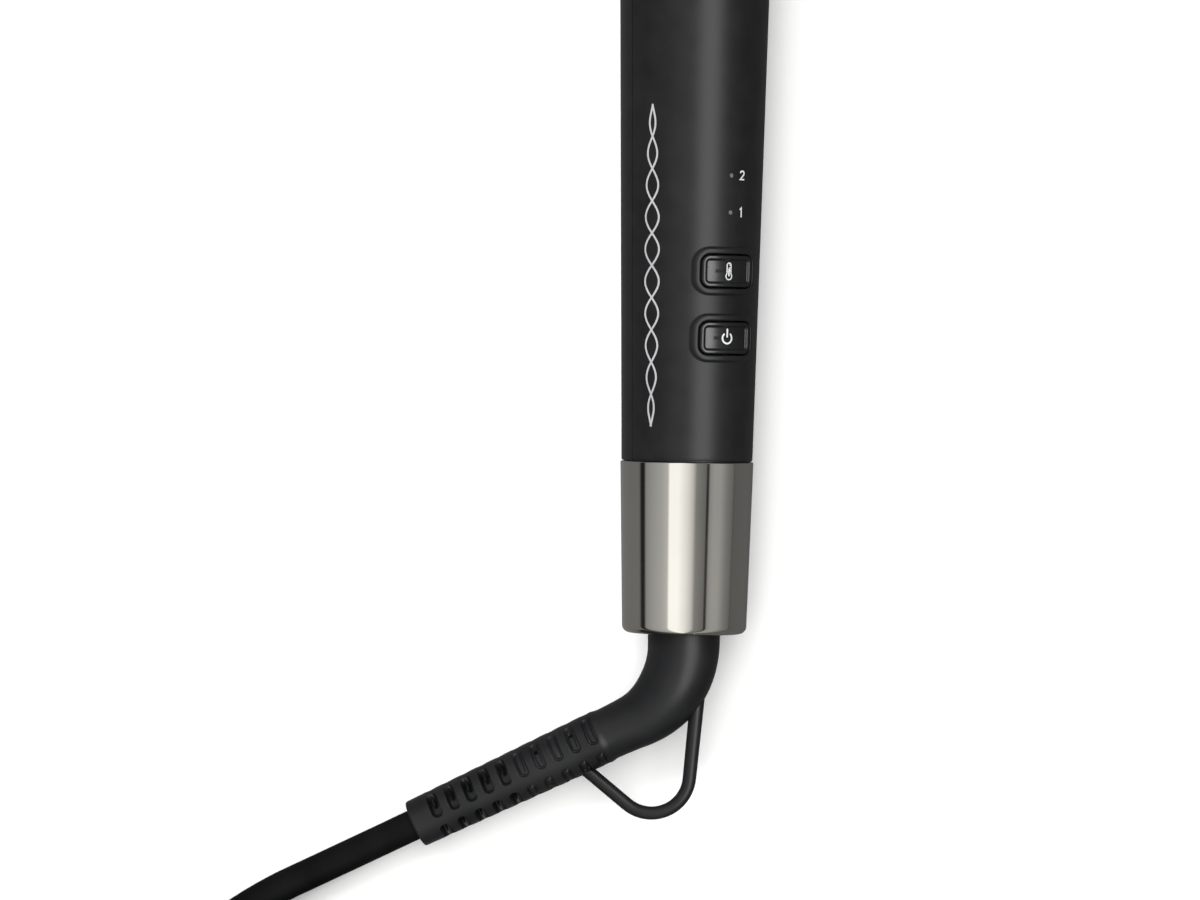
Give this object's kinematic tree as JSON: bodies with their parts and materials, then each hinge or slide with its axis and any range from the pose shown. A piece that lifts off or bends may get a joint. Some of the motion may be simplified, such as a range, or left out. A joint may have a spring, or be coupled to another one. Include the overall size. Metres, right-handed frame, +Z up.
{
  "type": "curling iron",
  "caption": "Clamp curling iron with a metal end collar, two buttons, a turning cord guard with a hanging loop, a coiled mains lead and a folding stand.",
  "frame": {"origin": "on the surface the iron lies on, midway along the iron and under its axis, measured without the cord and what is on it", "axes": "+X along the iron from its end collar to its cool tip, +Z up, the buttons face up and towards -Y, the cord guard bends towards +Y"},
  "size_m": [0.5307, 0.1619, 0.0487],
  "materials": {
    "handle_black": "soft-touch matte black",
    "collar_metal": "polished dark nickel",
    "button_gloss": "glossy black",
    "guard_rubber": "matte moulded rubber",
    "cord_rubber": "satin black cable sheath",
    "nylon": "natural nylon",
    "copper": "bare copper alloy",
    "board_green": "solder-masked circuit board",
    "switch_black": "moulded switch body",
    "light_clear": "clear light pipe",
    "screw_steel": "zinc-plated steel",
    "barrel_coat": "dark titanium-ceramic coat",
    "ceramic": "white ceramic",
    "aluminium": "extruded aluminium",
    "mica": "mica sheet",
    "tip_black": "heat-proof moulded nylon",
    "clamp_steel": "dark coated steel",
    "spring_steel": "spring steel wire",
    "stand_steel": "blackened steel wire",
    "plug_black": "moulded plug",
    "pin_nickel": "nickel-plated brass"
  },
  "bodies": {
    "handle": {"handle_front_shell": "handle_black", "handle_rear_shell": "handle_black", "end_collar": "collar_metal", "swivel_socket": "nylon", "live_brush": "copper", "neutral_brush": "copper", "circuit_board": "board_green", "temp_switch": "switch_black", "power_switch": "switch_black", "indicator_leds": "light_clear", "low_light_pipe": "light_clear", "high_light_pipe": "light_clear", "shell_screws": "screw_steel", "barrel_collar": "tip_black", "barrel": "barrel_coat", "insulating_disc": "mica", "heater_core": "ceramic", "upper_heat_spreader": "aluminium", "lower_heat_spreader": "aluminium", "thermal_fuse": "screw_steel", "temperature_sensor": "ceramic", "heater_leads": "cord_rubber", "cool_tip": "tip_black", "clamp_bracket": "screw_steel", "clamp_pin": "screw_steel", "clamp_spring": "spring_steel", "stand_pins": "screw_steel"},
    "cord_set": {"swivel_spool": "nylon", "live_slip_ring": "copper", "neutral_slip_ring": "copper", "cord_guard": "guard_rubber", "mains_cord": "cord_rubber", "cord_coil": "cord_rubber", "cord_tail": "cord_rubber", "cord_tie": "guard_rubber", "plug_body": "plug_black", "plug_grommet": "plug_black", "plug_pins": "pin_nickel"},
    "temp_button": {"temp_button": "button_gloss"},
    "power_button": {"power_button": "button_gloss"},
    "clamp": {"clamp_plate": "clamp_steel", "thumb_lever": "tip_black", "lever_rivets": "screw_steel"},
    "stand": {"stand": "stand_steel"}
  },
  "joints": [
    {"name": "cord_swivel", "type": "hinge", "parent": "handle", "child": "cord_set", "pos_m": [-0.17037, 0, 0.01352], "axis": [0.9998, 0, 0.0197], "continuous": true},
    {"name": "clamp_hinge", "type": "hinge", "parent": "handle", "child": "clamp", "pos_m": [0.02267, 0, 0.03394], "axis": [0, -1, 0], "range_deg": [0, 14], "stiffness_Nm_per_rad": 0.25, "springref_deg": -28.65},
    {"name": "temp_button_press", "type": "slide", "parent": "handle", "child": "temp_button", "axis": [0.0166, 0.5446, -0.8385], "range_m": [0, 0.0006], "stiffness_N_per_m": 400, "springref_m": -0.001},
    {"name": "power_button_press", "type": "slide", "parent": "handle", "child": "power_button", "axis": [0.0166, 0.5446, -0.8385], "range_m": [0, 0.0006], "stiffness_N_per_m": 400, "springref_m": -0.001},
    {"name": "stand_fold", "type": "hinge", "parent": "handle", "child": "stand", "pos_m": [0.002, 0, 0.01692], "axis": [0, 1, 0], "range_deg": [0, 70]}
  ]
}
